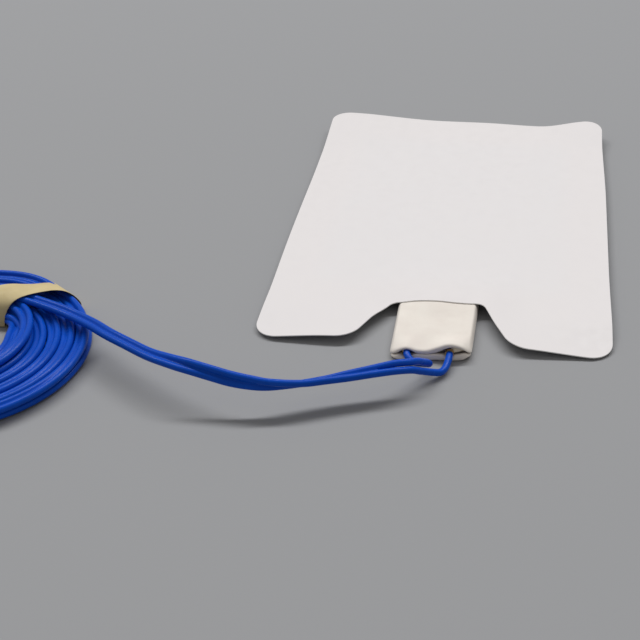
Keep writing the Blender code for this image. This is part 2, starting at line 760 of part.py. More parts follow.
def build_housing(plug_frame, material):
    """Two shells that close on the root of the tongue, with a grip on both faces."""
    shoulder = HOUSING_REAR + HOUSING_SHOULDER
    wide, narrow = HOUSING_HALF_WIDTH, HOUSING_REAR_HALF_WIDTH
    corners = [
        (-narrow, HOUSING_REAR, HOUSING_REAR_CORNER),
        (narrow, HOUSING_REAR, HOUSING_REAR_CORNER),
        (wide, shoulder, HOUSING_SHOULDER_ROUNDING),
        (wide, HOUSING_FRONT, HOUSING_FRONT_CORNER),
        (-wide, HOUSING_FRONT, HOUSING_FRONT_CORNER),
        (-wide, shoulder, HOUSING_SHOULDER_ROUNDING),
    ]
    pocket_half = TONGUE_HALF_WIDTH + SEAT_GAP
    pocket_rise = TONGUE_THICKNESS / 2 + SEAT_GAP
    low = (-pocket_half, HOUSING_FRONT - TONGUE_ROOT - SEAT_GAP, PLUG_AXIS_Z - pocket_rise)
    high = (pocket_half, HOUSING_FRONT + CUT_PAST, PLUG_AXIS_Z + pocket_rise)
    pocket = add_cutter("tongue_pocket", box_mesh("tongue_pocket", low, high), plug_frame)
    half_height = (HOUSING_HEIGHT - SEAT_GAP) / 2
    shells = (
        ("plug_housing_lower", 0.0, 0.0, -1.0),
        ("plug_housing_upper", HOUSING_HEIGHT - half_height, HOUSING_HEIGHT, 1.0),
    )
    for name, bottom, outer_face, outward in shells:
        shell = as_mesh(flat_piece(name, corners, bottom, half_height, material, plug_frame))
        bevel_edges(shell, HOUSING_BEVEL, 2)
        combine(shell, pocket, "DIFFERENCE")
        cut_grip(shell, outer_face, outward, plug_frame)


def build_contact(name, middle, tongue, root, tip, top, plug_frame, material):
    """A contact strip set flush in a recess of the tongue."""
    left, right = middle - CONTACT_WIDTH / 2, middle + CONTACT_WIDTH / 2
    end = tip - CONTACT_SETBACK
    low = (left - GLUE_GAP, root - CUT_PAST, top - CONTACT_THICKNESS - GLUE_GAP)
    high = (right + GLUE_GAP, end + GLUE_GAP, top + CUT_PAST)
    recess = add_cutter(name + "_recess", box_mesh(name + "_recess", low, high), plug_frame)
    combine(tongue, recess, "DIFFERENCE")
    strip = box_mesh(name, (left, root + SEAT_GAP, top - CONTACT_THICKNESS), (right, end, top))
    bevel_edges(add_piece(name, strip, material, plug_frame), CONTACT_EDGE, 1)


def build_tongue(plug_frame, material, metal_material):
    """The flat blade with its locating hole and two contact strips."""
    root, tip = HOUSING_FRONT - TONGUE_ROOT, HOUSING_FRONT + TONGUE_LENGTH
    half = TONGUE_HALF_WIDTH
    corners = [
        (-half, root, 0.0),
        (half, root, 0.0),
        (half, tip, TONGUE_CORNER),
        (-half, tip, TONGUE_CORNER),
    ]
    bottom = PLUG_AXIS_Z - TONGUE_THICKNESS / 2
    top = PLUG_AXIS_Z + TONGUE_THICKNESS / 2
    tongue = as_mesh(flat_piece("plug_tongue", corners, bottom, TONGUE_THICKNESS, material, plug_frame))
    hole_length = TONGUE_THICKNESS + 2 * CUT_PAST
    hole = add_cutter("tongue_hole", rod_mesh("tongue_hole", TONGUE_HOLE / 2, hole_length, 28), plug_frame)
    hole.location = (0.0, HOUSING_FRONT + TONGUE_LENGTH / 2, PLUG_AXIS_Z)
    combine(tongue, hole, "DIFFERENCE")
    for name, middle in (("contact_left", -CONTACT_X), ("contact_right", CONTACT_X)):
        build_contact(name, middle, tongue, root, tip, top, plug_frame, metal_material)


def build_pad(pad_frame, brass):
    foam = new_material("white_foam", (0.80, 0.76, 0.70), 0.85)
    foil = new_material("foil", (0.80, 0.80, 0.79), 0.35, 1.0)
    gel = new_material("gel", (0.72, 0.75, 0.72), 0.25)
    liner = new_material("liner_paper", (0.78, 0.77, 0.77), 0.62)
    build_foam(pad_frame, foam)
    for name, side, lead_x in (("left", -1.0, LEAD_X[0]), ("right", 1.0, LEAD_X[1])):
        build_foil("foil_" + name, side, lead_x, pad_frame, foil)
        build_gel("gel_" + name, side, pad_frame, gel)
        build_crimp("crimp_" + name, lead_x, pad_frame, brass)
    build_liner(pad_frame, liner)
    build_cover(pad_frame, foam)


def build_cord(lead_frame, brass):
    blue = new_material("blue_jacket", (0.012, 0.082, 0.45), 0.38)
    tinned = new_material("tinned_copper", (0.62, 0.52, 0.44), 0.4, 1.0)
    tape = new_material("masking_tape", (0.62, 0.53, 0.28), 0.75)
    shell = new_material("plug_shell", (0.012, 0.082, 0.45), 0.42)
    insert = new_material("plug_insert", (0.030, 0.035, 0.045), 0.45)
    build_lead("left", 1.0, LEAD_X[0], LEFT_WIRE_START, lead_frame, blue, tinned)
    build_lead("right", -1.0, LEAD_X[1], RIGHT_WIRE_START, lead_frame, blue, tinned)
    coil_frame = new_empty("coil_frame", (*COIL_CENTRE, 0.0), lead_frame)
    build_coil(coil_frame, blue)
    build_tape(coil_frame, tape)
    build_plug_leads(lead_frame, blue)
    plug_frame = new_empty("plug_frame", (*PLUG_POINT, 0.0), lead_frame, math.pi)
    build_boot(plug_frame, insert)
    build_housing(plug_frame, shell)
    build_tongue(plug_frame, insert, brass)


def build_all():
    brass = new_material("brass", (0.72, 0.52, 0.24), 0.35, 1.0)
    pad_frame = new_empty("pad_frame", (0.0, TAB_REACH / 2, 0.0))
    build_pad(pad_frame, brass)
    lead_frame = new_empty("lead_frame", (0.0, TAB_FRONT_Y, 0.0), pad_frame)
    build_cord(lead_frame, brass)


clear_scene()
parts = new_collection("electrosurgical_return_electrode")
cutters = new_collection("cutters")
build_all()
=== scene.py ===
"""Looks of the electrosurgical return electrode.

The pad lies liner up, its foam sleeve holds the twin lead, and the lead runs
to a taped coil and a flat plug. Metres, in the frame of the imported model,
with the pad's middle line at x = 0.
"""
import math

import bmesh
import bpy
from mathutils import Matrix, Vector, noise


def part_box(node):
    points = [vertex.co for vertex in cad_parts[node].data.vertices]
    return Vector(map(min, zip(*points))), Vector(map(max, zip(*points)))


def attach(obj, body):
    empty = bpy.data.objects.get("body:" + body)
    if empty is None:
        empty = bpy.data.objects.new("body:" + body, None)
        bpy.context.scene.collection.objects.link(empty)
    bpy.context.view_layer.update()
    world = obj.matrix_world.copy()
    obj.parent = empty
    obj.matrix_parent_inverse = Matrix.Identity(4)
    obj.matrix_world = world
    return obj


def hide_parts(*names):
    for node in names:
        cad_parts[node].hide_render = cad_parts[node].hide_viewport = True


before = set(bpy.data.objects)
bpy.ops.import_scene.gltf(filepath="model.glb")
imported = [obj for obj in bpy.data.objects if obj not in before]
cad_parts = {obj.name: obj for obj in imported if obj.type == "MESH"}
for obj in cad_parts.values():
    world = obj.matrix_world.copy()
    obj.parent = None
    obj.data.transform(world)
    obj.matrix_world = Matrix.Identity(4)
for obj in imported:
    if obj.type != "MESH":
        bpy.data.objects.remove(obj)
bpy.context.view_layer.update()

BODY = "root"
UP = Vector((0.0, 0.0, 1.0))
MM_PER_METRE = 1000

# Camera
CAMERA_PLACE = (0.0304, -0.4491, 0.2444)
CAMERA_PITCH = math.radians(32.54)
CAMERA_YAW = math.radians(10.55)
CAMERA_ROLL = math.radians(-2.0)
CAMERA_LENS = 72.9
SENSOR_WIDTH = 36.0

# Studio
FLOOR_SIZE = 8.0
FLOOR_COLOR = (0.327, 0.331, 0.343)
FLOOR_ROUGHNESS = 0.85
FLOOR_SPECULAR = 0.15
FILL_COLOR = (1.0, 0.985, 0.955)
FILL_STRENGTH = 0.32
LIGHT_TARGET = Vector((-0.03, -0.03, 0.0))
LIGHT_DISTANCE = 4.5
LIGHT_ELEVATION = math.radians(58.0)
LIGHT_SIZE = (7.0, 0.45)
LIGHT_POWER = 215.0

# Twin lead
WIRE_RADIUS = 0.0012
WIRE_SPACING = 0.0027
WEB_ANGLE = math.radians(161.0)
WIRE_STEPS = 13
ROUND_STEPS = 20
ROUTE_SAMPLES = 4
START_SAMPLES = 6
SWEEP_SHARP = math.radians(60.0)

# The twin lead starts at this row of its route. Each wire runs on inside it for a few rows,
# a little thinner
JOIN_ROW = 2
ROWS_INSIDE = 3
STRETCHES_INSIDE = ROWS_INSIDE - 1
SIZE_INSIDE = 0.93

# Places below are from the middle of the sleeve's front edge
COIL_CENTRE = Vector((-0.1595, -0.0153, 0.0))
JACKET_START = 0.0100
LEFT_WIRE_START = [
    (-0.0070, 0.0052, 0.00275), (-0.0070, 0.0009, 0.00265), (-0.0064, -0.0010, 0.00235),
    (-0.0053, -0.0025, 0.00200), (-0.0039, -0.0032, 0.00180), (-0.0023, -0.0034, 0.00180),
    (-0.0005, -0.0039, 0.00205), (0.0007, -0.0049, 0.00270), (0.0011, -0.0061, 0.00365),
    (0.0005, -0.0073, 0.00480), (-0.0007, -0.0090, 0.00610), (-0.0022, -0.0111, 0.00765),
]
RIGHT_WIRE_START = [
    (0.0072, 0.0052, 0.00275), (0.0072, 0.0007, 0.00265), (0.0069, -0.0026, 0.00225),
    (0.0062, -0.0060, 0.00185), (0.0049, -0.0082, 0.00190), (0.0030, -0.0097, 0.00275),
    (0.0009, -0.0116, 0.00415), (-0.0015, -0.0138, 0.00580),
]

# Middle of the twin lead from the sleeve to the coil: x, y, z and roll in degrees
PAIR_ROUTE = [
    (-0.0040, -0.0147, 0.0081, 40.0), (-0.0086, -0.0176, 0.0092, 28.0),
    (-0.0139, -0.0201, 0.0093, 10.0), (-0.0224, -0.0235, 0.0089, -6.0),
    (-0.0300, -0.0267, 0.0087, -25.0), (-0.0374, -0.0298, 0.0089, -36.0),
    (-0.0463, -0.0329, 0.0099, -68.0), (-0.0525, -0.0336, 0.0107, -96.0),
    (-0.0589, -0.0334, 0.0115, -116.0), (-0.0655, -0.0327, 0.0127, -122.0),
    (-0.0723, -0.0316, 0.0137, -134.0), (-0.0798, -0.0285, 0.0132, -158.0),
    (-0.0879, -0.0241, 0.0122, -175.0), (-0.0966, -0.0182, 0.0115, -180.0),
    (-0.1053, -0.0122, 0.0109, -180.0), (-0.1130, -0.0058, 0.0100, -180.0),
    (-0.1211, -0.0001, 0.0091, -180.0), (-0.1278, 0.0036, 0.0089, -180.0),
    (-0.1366, 0.0076, 0.0087, -180.0), (-0.1440, 0.0106, 0.0086, -180.0),
]

# Twin lead from the coil to the plug
PLUG_ROUTE = [
    (-0.1960, 0.0207, 0.0016, -180.0), (-0.2030, 0.0132, 0.0016, -180.0),
    (-0.2085, 0.0047, 0.0018, -180.0), (-0.2128, -0.0048, 0.0026, -180.0),
    (-0.2156, -0.0148, 0.0036, -180.0), (-0.2168, -0.0233, 0.0043, -180.0),
    (-0.2170, -0.0305, 0.00455, -180.0),
]

# Turns of the coil: azimuth in degrees, radius and height in millimetres, tilt in degrees
COIL_KEYS = [
    (59.1, 30.2, 8.60, 0.0), (80.0, 29.2, 9.00, 0.0), (100.0, 28.4, 9.20, 0.0),
    (130.0, 27.2, 8.40, 0.0), (165.0, 26.0, 7.20, 0.0), (230.0, 24.6, 7.10, 5.0),
    (330.0, 23.8, 7.10, 18.0), (360.0, 24.0, 7.15, 22.0), (402.0, 26.0, 7.00, 14.0),
    (425.0, 26.9, 6.80, 5.0), (455.0, 28.3, 6.70, 0.0), (500.0, 33.0, 7.00, 0.0),
    (560.0, 40.3, 7.00, 0.0), (595.0, 43.4, 6.60, -14.0), (620.0, 44.2, 5.30, -8.0),
    (660.0, 43.9, 4.50, 8.0), (720.0, 43.6, 4.50, 18.0), (2140.0, 24.9, 4.50, 18.0),
    (2350.0, 22.3, 4.80, 10.0), (2440.0, 20.4, 5.00, 0.0), (2500.0, 19.4, 5.00, 0.0),
    (2539.0, 19.8, 4.80, 0.0), (2553.0, 21.0, 4.20, 0.0), (2568.0, 22.8, 3.10, 0.0),
    (2590.0, 24.0, 2.00, 0.0), (2620.0, 24.2, 1.75, 0.0), (4000.0, 44.2, 1.70, 0.0),
    (4040.0, 45.6, 1.70, 0.0), (4070.0, 47.8, 1.65, 0.0),
]
COIL_STEP = 10.0
TURNED_OVER = -180.0

# Unevenness of the turns: its amounts, how fast it varies, and a place in the noise for each kind
COIL_SHARED_NOISE = 0.00045
COIL_TURN_NOISE = 0.00030
COIL_HEIGHT_NOISE = 0.00020
COIL_TILT_NOISE = 16.0
COIL_NOISE_FADE = 40.0
SHARED_PACE = 1.4
TURN_PACE = 0.8
TURN_LANE = 7.0
HEIGHT_LANE = 5
TILT_LANE = 11

# The top layer's outer turns bulge past the tape. Each rise or fall has a place and a span,
# in degrees round the coil or in millimetres from its middle
BULGE = 0.0027
BULGE_RISE = (53.0, 25.0)
BULGE_FALL = (175.0, 75.0)
BULGE_RADII = (32.0, 9.0)
TOP_LAYER_ENDS = 2200.0

# Tape band, in a frame turned to its azimuth: distance along and height in millimetres, seen at both edges
TAPE_AZIMUTH = math.radians(45.0)
TAPE_NEAR = [
    (21.2, 0.14), (27.0, 0.14), (34.0, 0.14), (41.4, 0.14), (47.0, 0.14), (47.9, 1.30),
    (47.4, 3.20), (45.5, 6.20), (42.7, 8.80), (39.2, 10.20), (35.2, 10.60), (31.2, 10.60),
    (28.0, 10.30), (25.4, 9.50), (23.2, 7.80), (21.4, 5.00), (20.6, 2.00),
]
TAPE_FAR = [
    (8.6, 0.14), (18.0, 0.14), (28.0, 0.14), (37.4, 0.14), (45.0, 0.14), (46.2, 1.30), (46.0, 3.00),
    (44.4, 5.20), (41.2, 6.40), (37.0, 7.30), (33.0, 8.50), (29.0, 9.90), (24.5, 10.70),
    (19.0, 10.20), (13.5, 8.40), (9.4, 5.00), (8.2, 1.80),
]

# Sideways place of each edge of the band at its outer end, and its shift further in
TAPE_NEAR_SIDE = (0.0006, 0.0048)
TAPE_FAR_SIDE = (0.0145, 0.0022)
TAPE_SLANT_FROM = 0.048
TAPE_SLANT_SPAN = 0.027
TAPE_COLUMNS = 10
TAPE_SAMPLES = 5
TAPE_THICKNESS = 0.00018
TAPE_SHARP = math.radians(70.0)

# Release liner
LINER_CORNER = 0.008
LINER_CORNER_STEPS = 16
LINER_THICKNESS = 0.00035
LINER_CELL = 0.0025
NOTCH_DEPTH = 0.023
NOTCH_TOP_HALF = 0.0161
NOTCH_BASE_HALF = 0.0269
NOTCH_TOP_FILLET = 0.004
NOTCH_BASE_FILLET = 0.009
GLUE_GAP = 0.00025
LINER_WAVE = 0.00012
LINER_WAVE_SCALE = 28.0

# Curls: lift, crest's distance from the side, reach along the edge and reach inward
CURL_FAR_LEFT = (0.0027, 0.000, 0.052, 0.040)
CURL_FAR_RIGHT = (0.0028, 0.004, 0.024, 0.024)

# Droops: depth, reach along the edge and reach inward
DROOP_NEAR_LEFT = (0.0010, 0.025, 0.020)
DROOP_NEAR_RIGHT = (0.0025, 0.035, 0.020)

# Lift round the notch
RISE_HEIGHT = 0.00115
RISE_LEAN = 0.010
RISE_BESIDE_NOTCH = 0.007
RISE_BEHIND_NOTCH = 0.029
RISE_SPAN = 0.020

# Small pulls that leave the liner as uneven as it lies, in millimetres: place from its middle,
# reach and shift
LINER_PULLS = [
    ((-60.0, -90.0), 34.0, (-0.9, -0.7, -0.9)),
    ((-60.0, -20.0), 60.0, (-0.4, 0.0, 0.0)),
    ((60.0, -85.0), 50.0, (0.5, 0.0, 0.0)),
    ((60.0, 80.0), 60.0, (-0.8, 0.0, 0.0)),
    ((32.0, 90.0), 26.0, (0.0, -0.6, -0.4)),
    ((-60.0, 90.0), 20.0, (0.0, -0.6, 0.0)),
    ((-16.5, -69.0), 11.0, (0.9, -0.7, -0.5)),
    ((0.0, -67.0), 15.0, (0.0, 0.1, 0.85)),
    ((17.0, -67.0), 12.0, (0.3, 0.3, 0.45)),
]

# Foam backing
FOAM_CORNER = 0.006
FOAM_CORNER_STEPS = 8
FOAM_NOTCH_FILLET = 0.006
FOAM_EDGE = 0.00035
FOAM_EDGE_STEPS = 3
FOAM_EDGE_ANGLE = math.radians(60.0)
FOAM_SHARP = math.radians(50.0)

# Sleeve: a soft top layer over a strip
LEAD_X = (-0.0070, 0.0072)
SLEEVE_CORNER = 0.0030
SLEEVE_SKEW = 0.0024
SLEEVE_LEFT_LEAN = 0.0004
SLEEVE_RIGHT_LEAN = 0.0005
SLEEVE_COLUMNS = 56
SLEEVE_ROWS = 40
SLEEVE_CROWDING = 1.8
PILLOW_RIM = 0.0012
STRIP_RIM = 0.00085
PILLOW_TOP = 0.0043
SHOULDER_LOW = 0.0024
SHOULDER_REACH = 0.0014
SIDE_UNDER = 0.0003
SIDE_UNDER_REACH = 0.0014
TUCK_GAP = 0.00008
TUCK_FROM = 0.018
TUCK_SPAN = 0.008
MOUTH_REACH = 0.0105
STRIP_REACH = 0.0050
STRIP_INSET = 0.00035
STRIP_AHEAD = 0.0008
STRIP_TUCK = 0.0006
STRIP_SEAT = 0.00002

# Brass ferrule round each wire and a film behind the right one, just inside the mouth
FERRULE_RADIUS = 0.00142
FERRULE_PLACES = [(-0.0072, 0.0022, 0.0027), (0.0071, 0.0020, 0.0028)]
FERRULE_LENGTH = 0.0012
FERRULE_SIDES = 24
FERRULE_SHARP = math.radians(50.0)
FILM_THICKNESS = 0.00015

# Film, in millimetres: place, its lower edge's height and its upper edge's height
FILM_KEYS = [(7.4, 2.2, 4.9), (8.8, 2.7, 4.9), (10.3, 3.05, 4.6), (11.6, 3.5, 4.0)]

# How far the film's lower and upper edges lie behind the sleeve's front
FILM_BEHIND = (0.0009, 0.0019)

# Across the sleeve's mouth, in millimetres: place, top and underside of the top layer,
# top and bottom of the strip
MOUTH_KEYS = [
    (-13.0, 2.30, 0.70, 1.40, 0.50), (-11.4, 3.30, 1.70, 1.85, 0.35),
    (-9.7, 4.30, 2.60, 2.20, 0.25), (-8.4, 4.85, 3.45, 1.75, 0.20), (-7.0, 5.05, 3.80, 1.50, 0.20),
    (-5.6, 4.65, 3.35, 1.80, 0.20), (-4.1, 4.05, 2.30, 2.45, 0.20), (-0.8, 3.80, 1.85, 2.30, 0.15),
    (2.2, 4.70, 2.35, 2.60, 0.12), (4.2, 5.55, 3.20, 2.60, 0.10), (5.7, 6.15, 4.10, 2.20, 0.05),
    (7.2, 6.40, 4.70, 1.50, 0.00), (8.6, 6.25, 4.75, 2.30, 0.05), (10.3, 5.75, 4.40, 2.70, 0.20),
    (11.8, 5.00, 3.75, 3.20, 0.50), (13.0, 3.90, 2.65, 2.80, 1.00), (14.3, 2.70, 1.60, 2.20, 1.40),
]

# Finishes: two tones each, in linear red, green and blue
JACKET_TONES = ((0.0032, 0.078, 0.530), (0.0028, 0.067, 0.465))
SHELL_TONES = ((0.0040, 0.062, 0.44), (0.0034, 0.052, 0.38))
INSERT_TONES = ((0.028, 0.032, 0.042), (0.020, 0.023, 0.032))
TAPE_TONES = ((0.61, 0.50, 0.265), (0.54, 0.435, 0.225))
FOAM_TONES = ((0.830, 0.778, 0.716), (0.790, 0.727, 0.670))
FILM_TONES = ((0.84, 0.77, 0.64), (0.80, 0.72, 0.58))
# The cut edge's tones, much paler than the sheet, are a painted highlight along the liner's rim
EDGE_HIGHLIGHT_TONES = ((0.93, 0.92, 0.91), (0.90, 0.89, 0.88))
FOIL_TONES = ((0.80, 0.80, 0.79), (0.70, 0.70, 0.69))
GEL_TONES = ((0.72, 0.75, 0.72), (0.66, 0.70, 0.68))
BRASS_TONES = ((0.72, 0.52, 0.24), (0.58, 0.41, 0.19))
FERRULE_TONES = ((0.72, 0.50, 0.20), (0.60, 0.40, 0.16))
COPPER_TONES = ((0.66, 0.60, 0.55), (0.60, 0.46, 0.36))

# Liner: round the gel, over the gel, and the cloudiness of both
LINER_BORDER = (0.776, 0.744, 0.748)
LINER_FIELD = (0.768, 0.744, 0.752)
LINER_CLOUD = (0.772, 0.742, 0.744)

# Shared by the finishes. Wear is finer than the mottle by a factor
WEAR_FINENESS = 3.1
GRAIN_DEPTH = 0.00004
PLAIN_SPECULAR = 0.5
EVENLY = (1.0, 1.0, 1.0)

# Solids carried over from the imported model
NODE_SHARP = math.radians(35.0)

# Sockets of a Mix node that mixes colours
MIX_FACTOR, MIX_FIRST, MIX_SECOND, MIX_RESULT = 0, 6, 7, 2

liner_low, liner_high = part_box("release_liner")
foam_low, foam_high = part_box("foam_backing")
sleeve_low, sleeve_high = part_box("tab_cover")
gel_low, gel_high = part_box("gel_left")
MOUTH = Vector(((liner_low.x + liner_high.x) / 2, sleeve_low.y, 0.0))
PAD_MIDDLE = (liner_low + liner_high) / 2
LINER_BOTTOM = gel_high.z + GLUE_GAP
NOTCH_TOP_Y = liner_low.y + NOTCH_DEPTH


def add_piece(name, mesh, slot, *materials):
    """A new object that rides with the pad."""
    piece = bpy.data.objects.new(name, mesh)
    bpy.context.scene.collection.objects.link(piece)
    for material in materials:
        mesh.materials.append(material)
    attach(piece, BODY)
    return piece


def mesh_from(work, name):
    mesh = bpy.data.meshes.new(name)
    work.to_mesh(mesh)
    work.free()
    return mesh


def shade_smooth(mesh, sharp_angle=math.pi):
    mesh.polygons.foreach_set("use_smooth", [True] * len(mesh.polygons))
    if sharp_angle < math.pi:
        mesh.set_sharp_from_angle(angle=sharp_angle)


def thicken(piece, thickness):
    """Thicken a sheet by as much on either side."""
    modifier = piece.modifiers.new("Thickness", "SOLIDIFY")
    modifier.thickness = thickness
    modifier.offset = 0.0


def subdivide_once(piece):
    modifier = piece.modifiers.new("Subdivision", "SUBSURF")
    modifier.levels = 1
    modifier.render_levels = 1


def ease(value):
    """A smooth step from 0 to 1."""
    value = min(1.0, max(0.0, value))
    return value * value * (3.0 - 2.0 * value)


def edge_weight(distance, reach):
    """1 at an edge, falling smoothly to 0 at the reach."""
    return ease(1.0 - distance / reach)


def hump(distance, half_width):
    """A smooth hump, 1 in the middle and 0 past its half width."""
    if abs(distance) >= half_width:
        return 0.0
    return math.cos(math.pi / 2 * distance / half_width) ** 2


def corner_arc(before, corner, after, radius, steps):
    """Points of one corner's fillet, from the side before it to the side after it."""
    into = (corner - before).normalized()
    out = (after - corner).normalized()
    turn = into.angle_signed(out)
    start = corner - into * radius * math.tan(abs(turn) / 2)
    inward = Vector((-into.y, into.x)) * math.copysign(1.0, -turn)
    centre = start + inward * radius
    points = []
    for step in range(steps + 1):
        spin = Matrix.Rotation(-turn * step / steps, 2)
        points.append(centre + spin @ (start - centre))
    return points


def rounded_outline(corners, steps):
    """Outline through corners given as x, y and fillet radius."""
    spots = [Vector((x, y)) for x, y, _ in corners]
    points = []
    for index, (_, _, radius) in enumerate(corners):
        before = spots[index - 1]
        after = spots[(index + 1) % len(spots)]
        points += corner_arc(before, spots[index], after, radius, steps)
    return points


def smooth_rows(rows, samples, closed=False):
    """Rows on a smooth curve through the given ones, with samples to each stretch."""
    rows = [Vector(row) for row in rows]
    if closed:
        rows = [rows[-1]] + rows + [rows[0], rows[1]]
    else:
        rows = [2 * rows[0] - rows[1]] + rows + [2 * rows[-1] - rows[-2]]
    smooth = []
    for before, start, end, after in zip(rows, rows[1:], rows[2:], rows[3:]):
        for step in range(samples):
            t = step / samples
            line = 2 * start + (end - before) * t
            bend = (2 * before - 5 * start + 4 * end - after) * t ** 2
            twist = (3 * start - before - 3 * end + after) * t ** 3
            smooth.append((line + bend + twist) / 2)
    if not closed:
        smooth.append(rows[-2])
    return smooth


def between_keys(keys, place):
    """Values at a place between keys, on smooth curves through them."""
    index = 0
    while index < len(keys) - 2 and keys[index + 1][0] <= place:
        index += 1
    spots = [Vector(key[1:]) for key in keys]
    places = [key[0] for key in keys]

    def slope(at):
        first, last = max(at - 1, 0), min(at + 1, len(keys) - 1)
        return (spots[last] - spots[first]) / (places[last] - places[first])

    span = places[index + 1] - places[index]
    t = (place - places[index]) / span
    start_share = 2 * t ** 3 - 3 * t ** 2 + 1
    leave_share = t ** 3 - 2 * t ** 2 + t
    arrive_share = t ** 3 - t ** 2
    ends = spots[index] * start_share + spots[index + 1] * (1 - start_share)
    return ends + (slope(index) * leave_share + slope(index + 1) * arrive_share) * span


def axes_across(places, index):
    """Directions across a route at one place: the level one and the upright one."""
    ahead = places[min(index + 1, len(places) - 1)]
    behind = places[max(index - 1, 0)]
    along = (ahead - behind).normalized()
    level = along.cross(UP).normalized()
    return level, level.cross(along)


def wire_points(route, side):
    """One wire of the twin lead, half a spacing from its middle."""
    places = [Vector(row[:3]) for row in route]
    points = []
    for index, row in enumerate(route):
        level, upright = axes_across(places, index)
        roll = math.radians(row[3])
        arm = level * math.cos(roll) + upright * math.sin(roll)
        points.append(places[index] + arm * side * WIRE_SPACING / 2)
    return points


def twin_outline():
    """Cross-section of the twin lead: two round wires joined by a shallow web."""
    outline = []
    for side in (1.0, -1.0):
        for step in range(WIRE_STEPS + 1):
            angle = WEB_ANGLE * (2 * step / WIRE_STEPS - 1)
            x = WIRE_SPACING / 2 + WIRE_RADIUS * math.cos(angle)
            outline.append((side * x, side * WIRE_RADIUS * math.sin(angle)))
    return outline


def round_outline():
    """Cross-section of a single wire."""
    angles = [2 * math.pi * step / ROUND_STEPS for step in range(ROUND_STEPS)]
    return [(WIRE_RADIUS * math.cos(angle), WIRE_RADIUS * math.sin(angle)) for angle in angles]


def swept_mesh(name, rows, outline, sizes):
    """An outline swept along rows of place and roll, with a size for each ring."""
    places = [Vector(row[:3]) for row in rows]
    work = bmesh.new()
    rings = []
    for index, row in enumerate(rows):
        level, upright = axes_across(places, index)
        roll = math.radians(row[3])
        arm = level * math.cos(roll) + upright * math.sin(roll)
        lift = upright * math.cos(roll) - level * math.sin(roll)
        size = sizes[index]
        rings.append([work.verts.new(places[index] + (arm * x + lift * y) * size) for x, y in outline])
    count = len(outline)
    for near, far in zip(rings, rings[1:]):
        for index in range(count):
            work.faces.new((near[index - 1], far[index - 1], far[index], near[index]))
    work.faces.new(rings[0])
    work.faces.new(list(reversed(rings[-1])))
    bmesh.ops.recalc_face_normals(work, faces=work.faces)
    mesh = mesh_from(work, name)
    shade_smooth(mesh, SWEEP_SHARP)
    return mesh, places


def coil_bulge(azimuth, radius):
    """How far a turn of the top layer is pushed outward."""
    if azimuth > TOP_LAYER_ENDS:
        return 0.0
    around = azimuth % 360.0
    rise = ease((around - BULGE_RISE[0]) / BULGE_RISE[1])
    fall = ease((BULGE_FALL[0] - around) / BULGE_FALL[1])
    return BULGE * rise * fall * ease((radius - BULGE_RADII[0]) / BULGE_RADII[1])


def coil_rows():
    """The coil's turns, from where the lead comes in on top to where the plug's lead leaves."""
    first, last = COIL_KEYS[0][0], COIL_KEYS[-1][0]
    count = round((last - first) / COIL_STEP)
    rows = []
    for step in range(1, count + 1):
        azimuth = first + (last - first) * step / count
        radius, height, tilt = between_keys(COIL_KEYS, azimuth)
        angle = math.radians(azimuth)
        fade = ease((azimuth - first) / COIL_NOISE_FADE) * ease((last - azimuth) / COIL_NOISE_FADE)
        shared = noise.noise(Vector((math.cos(angle), math.sin(angle), 0.0)) * SHARED_PACE)
        own = Vector((angle * TURN_PACE, TURN_LANE, 0.0))
        bulge = coil_bulge(azimuth, radius)
        uneven = COIL_SHARED_NOISE * shared + COIL_TURN_NOISE * noise.noise(own)
        radius = radius / MM_PER_METRE + bulge + fade * uneven
        height = height / MM_PER_METRE + fade * COIL_HEIGHT_NOISE * noise.noise(own + UP * HEIGHT_LANE)
        tilt += fade * COIL_TILT_NOISE * noise.noise(own + UP * TILT_LANE)
        place = COIL_CENTRE + Vector((radius * math.cos(angle), radius * math.sin(angle), height))
        rows.append((*place, tilt + TURNED_OVER))
    return rows


def at_mouth(rows):
    """Rows moved from the mouth's frame to the model's."""
    return [(*(Vector(row[:3]) + MOUTH), *row[3:]) for row in rows]


def build_twin_lead(material):
    rows = smooth_rows(at_mouth(PAIR_ROUTE + coil_rows() + PLUG_ROUTE), ROUTE_SAMPLES)
    rows = rows[JOIN_ROW * ROUTE_SAMPLES:]
    mesh, path = swept_mesh("twin_lead", rows, twin_outline(), [1.0] * len(rows))
    lead = add_piece("twin_lead", mesh, "lead_jacket", material)
    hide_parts("lead_left", "lead_right", "cord_coil", "plug_lead_outer", "plug_lead_inner")
    return lead, path


def build_wire_start(name, node, side, lead_x, start, material):
    """One wire from its crimp to where it joins the twin lead."""
    joined = wire_points(PAIR_ROUTE, side)[:JOIN_ROW + ROWS_INSIDE]
    spots = [(lead_x, JACKET_START, start[0][2])] + start + [tuple(spot) for spot in joined]
    rows = smooth_rows([(*(Vector(spot) + MOUTH), 0.0) for spot in spots], START_SAMPLES)
    inside = len(rows) - STRETCHES_INSIDE * START_SAMPLES
    sizes = [1.0 if index < inside else SIZE_INSIDE for index in range(len(rows))]
    mesh, path = swept_mesh(name, rows, round_outline(), sizes)
    wire = add_piece(name, mesh, "lead_jacket", material)
    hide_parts(node)


def tape_side(setting, along):
    """Distance of one edge of the band from its frame's axis."""
    outer, shift = setting
    return outer + shift * ease((TAPE_SLANT_FROM - along) / TAPE_SLANT_SPAN)


def tape_edge(spots):
    """One edge of the band, as a closed smooth curve."""
    rows = [(along / MM_PER_METRE, height / MM_PER_METRE) for along, height in spots]
    return smooth_rows(rows, TAPE_SAMPLES, closed=True)


